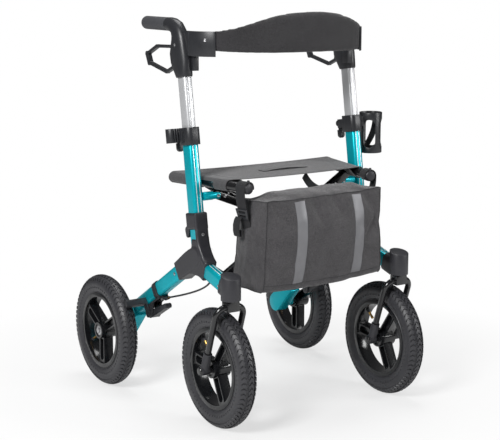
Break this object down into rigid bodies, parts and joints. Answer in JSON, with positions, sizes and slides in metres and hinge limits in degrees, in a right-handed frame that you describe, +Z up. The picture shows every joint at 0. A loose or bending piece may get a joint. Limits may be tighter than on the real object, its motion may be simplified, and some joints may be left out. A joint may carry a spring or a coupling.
{
  "type": "all terrain rollator",
  "caption": "Side-folding all terrain rollator with large air-filled wheels, cloth seat, front bag, bowed backrest, hand brakes and a cup holder.",
  "frame": {"origin": "on the floor under the middle of the frame, at the bottom centre of the bounding box", "axes": "+Z up; -Y is the front, where the casters and bag are; -X is the user's right"},
  "size_m": [0.701, 0.789, 1.024],
  "materials": {
    "teal_paint": "satin metallic",
    "dark_plastic": "fine grain",
    "black_plastic": "satin",
    "black_metal": "satin powder coat",
    "silver_tube": "anodised",
    "steel": "zinc plated",
    "tyre_rubber": "matt",
    "grip_rubber": "soft",
    "charcoal_cloth": "woven polyester",
    "webbing": "woven tape",
    "cable_sheath": "smooth"
  },
  "bodies": {
    "right_frame": {"right_upright": "teal_paint", "right_y_joint": "dark_plastic", "right_rear_leg": "teal_paint", "right_front_leg": "teal_paint", "right_caster_housing": "dark_plastic", "right_height_clamp": "black_plastic", "right_axle_block": "dark_plastic", "right_rear_axle": "steel", "right_brake_bracket": "black_plastic", "right_brake_cable": "cable_sheath"},
    "right_handle": {"right_inner_tube": "silver_tube", "right_handle_housing": "black_plastic", "right_grip": "grip_rubber", "right_backrest_bracket": "black_plastic", "backrest": "charcoal_cloth"},
    "right_lever": {"right_brake_lever": "black_plastic"},
    "right_brake": {"right_brake_arm": "black_plastic"},
    "right_clamp": {"right_clamp_lever": "black_plastic"},
    "right_caster": {"right_fork": "black_metal", "right_fork_feet": "dark_plastic", "right_front_axle": "steel"},
    "right_front_wheel": {"right_front_tyre": "tyre_rubber", "right_front_rim": "black_plastic"},
    "right_rear_wheel": {"right_rear_tyre": "tyre_rubber", "right_rear_rim": "black_plastic"},
    "right_link": {"right_guide_link": "black_metal"},
    "left_frame": {"left_upright": "teal_paint", "left_y_joint": "dark_plastic", "left_rear_leg": "teal_paint", "left_front_leg": "teal_paint", "left_caster_housing": "dark_plastic", "left_height_clamp": "black_plastic", "left_axle_block": "dark_plastic", "left_rear_axle": "steel", "left_brake_bracket": "black_plastic", "left_brake_cable": "cable_sheath", "cup_holder": "black_plastic"},
    "left_handle": {"left_inner_tube": "silver_tube", "left_handle_housing": "black_plastic", "left_grip": "grip_rubber", "left_backrest_bracket": "black_plastic"},
    "left_lever": {"left_brake_lever": "black_plastic"},
    "left_brake": {"left_brake_arm": "black_plastic"},
    "left_clamp": {"left_clamp_lever": "black_plastic"},
    "left_caster": {"left_fork": "black_metal", "left_fork_feet": "dark_plastic", "left_front_axle": "steel"},
    "left_front_wheel": {"left_front_tyre": "tyre_rubber", "left_front_rim": "black_plastic"},
    "left_rear_wheel": {"left_rear_tyre": "tyre_rubber", "left_rear_rim": "black_plastic"},
    "left_link": {"left_guide_link": "black_metal"},
    "right_arm": {"cross_arm_right": "black_metal", "left_rail_ends": "dark_plastic", "cross_bolt": "steel"},
    "left_arm": {"cross_arm_left": "black_metal", "right_rail_ends": "dark_plastic"},
    "seat": {"seat_sling": "charcoal_cloth", "bag": "charcoal_cloth", "bag_straps": "webbing"}
  },
  "joints": [
    {"name": "fold", "type": "hinge", "parent": "right_frame", "child": "right_arm", "pos_m": [-0.19, -0.133, 0.35], "axis": [0, -1, 0], "range_deg": [0, 40], "deforming": ["seat_sling", "bag", "bag_straps", "backrest"]},
    {"name": "fold_cross", "type": "hinge", "parent": "right_arm", "child": "left_arm", "pos_m": [0, -0.133, 0.46762], "axis": [0, -1, 0], "range_deg": [-80, 0]},
    {"name": "fold_left", "type": "hinge", "parent": "left_arm", "child": "left_frame", "pos_m": [0.19, -0.133, 0.35], "axis": [0, -1, 0], "range_deg": [0, 40]},
    {"name": "fold_seat", "type": "hinge", "parent": "right_arm", "child": "seat", "pos_m": [0.21709, -0.133, 0.602], "axis": [0, -1, 0], "range_deg": [-40, 0]},
    {"name": "right_guide", "type": "hinge", "parent": "right_frame", "child": "right_link", "pos_m": [-0.203, -0.1395, 0.57], "axis": [0, -1, 0], "range_deg": [0, 87.2]},
    {"name": "handle_height", "type": "slide", "parent": "right_frame", "child": "right_handle", "axis": [0, 0.1513, 0.9885], "range_m": [-0.11, 0.05]},
    {"name": "right_brake_squeeze", "type": "hinge", "parent": "right_handle", "child": "right_lever", "pos_m": [-0.256, -0.05985, 0.945], "axis": [1, 0, 0], "range_deg": [0, 10], "stiffness_Nm_per_rad": 4},
    {"name": "right_brake_pull", "type": "hinge", "parent": "right_frame", "child": "right_brake", "pos_m": [-0.256, 0.092, 0.22], "axis": [1, 0, 0], "range_deg": [-4.8, 0]},
    {"name": "right_clamp_turn", "type": "hinge", "parent": "right_frame", "child": "right_clamp", "pos_m": [-0.256, -0.04836, 0.71389], "axis": [1, 0, 0], "range_deg": [0, 100]},
    {"name": "right_caster_swivel", "type": "hinge", "parent": "right_frame", "child": "right_caster", "pos_m": [-0.263, -0.301, 0.338], "axis": [0, 0, 1], "continuous": true},
    {"name": "right_front_spin", "type": "hinge", "parent": "right_caster", "child": "right_front_wheel", "pos_m": [-0.263, -0.242, 0.1525], "axis": [1, 0, 0], "continuous": true},
    {"name": "right_rear_spin", "type": "hinge", "parent": "right_frame", "child": "right_rear_wheel", "pos_m": [-0.3245, 0.242, 0.1525], "axis": [1, 0, 0], "continuous": true},
    {"name": "left_guide", "type": "hinge", "parent": "left_frame", "child": "left_link", "pos_m": [0.203, -0.1265, 0.57], "axis": [0, -1, 0], "range_deg": [-87.2, 0]},
    {"name": "left_handle_height", "type": "slide", "parent": "left_frame", "child": "left_handle", "axis": [0, 0.1513, 0.9885], "range_m": [-0.11, 0.05]},
    {"name": "left_brake_squeeze", "type": "hinge", "parent": "left_handle", "child": "left_lever", "pos_m": [0.256, -0.05985, 0.945], "axis": [1, 0, 0], "range_deg": [0, 10], "stiffness_Nm_per_rad": 4},
    {"name": "left_brake_pull", "type": "hinge", "parent": "left_frame", "child": "left_brake", "pos_m": [0.256, 0.092, 0.22], "axis": [1, 0, 0], "range_deg": [-4.8, 0]},
    {"name": "left_clamp_turn", "type": "hinge", "parent": "left_frame", "child": "left_clamp", "pos_m": [0.256, -0.04836, 0.71389], "axis": [1, 0, 0], "range_deg": [0, 100]},
    {"name": "left_caster_swivel", "type": "hinge", "parent": "left_frame", "child": "left_caster", "pos_m": [0.263, -0.301, 0.338], "axis": [0, 0, 1], "continuous": true},
    {"name": "left_front_spin", "type": "hinge", "parent": "left_caster", "child": "left_front_wheel", "pos_m": [0.263, -0.242, 0.1525], "axis": [1, 0, 0], "continuous": true},
    {"name": "left_rear_spin", "type": "hinge", "parent": "left_frame", "child": "left_rear_wheel", "pos_m": [0.3245, 0.242, 0.1525], "axis": [1, 0, 0], "continuous": true}
  ],
  "couplings": [
    {"joint": "fold_cross", "follows": "fold", "ratio": -2},
    {"joint": "fold_left", "follows": "fold", "ratio": 1},
    {"joint": "fold_seat", "follows": "fold", "ratio": -1},
    {"joint": "right_guide", "follows": "fold", "ratio": 2.178},
    {"joint": "right_brake_pull", "follows": "right_brake_squeeze", "ratio": -0.48},
    {"joint": "left_guide", "follows": "fold", "ratio": -2.178},
    {"joint": "left_brake_pull", "follows": "left_brake_squeeze", "ratio": -0.48},
    {"joint": "left_handle_height", "follows": "handle_height", "ratio": 1}
  ]
}
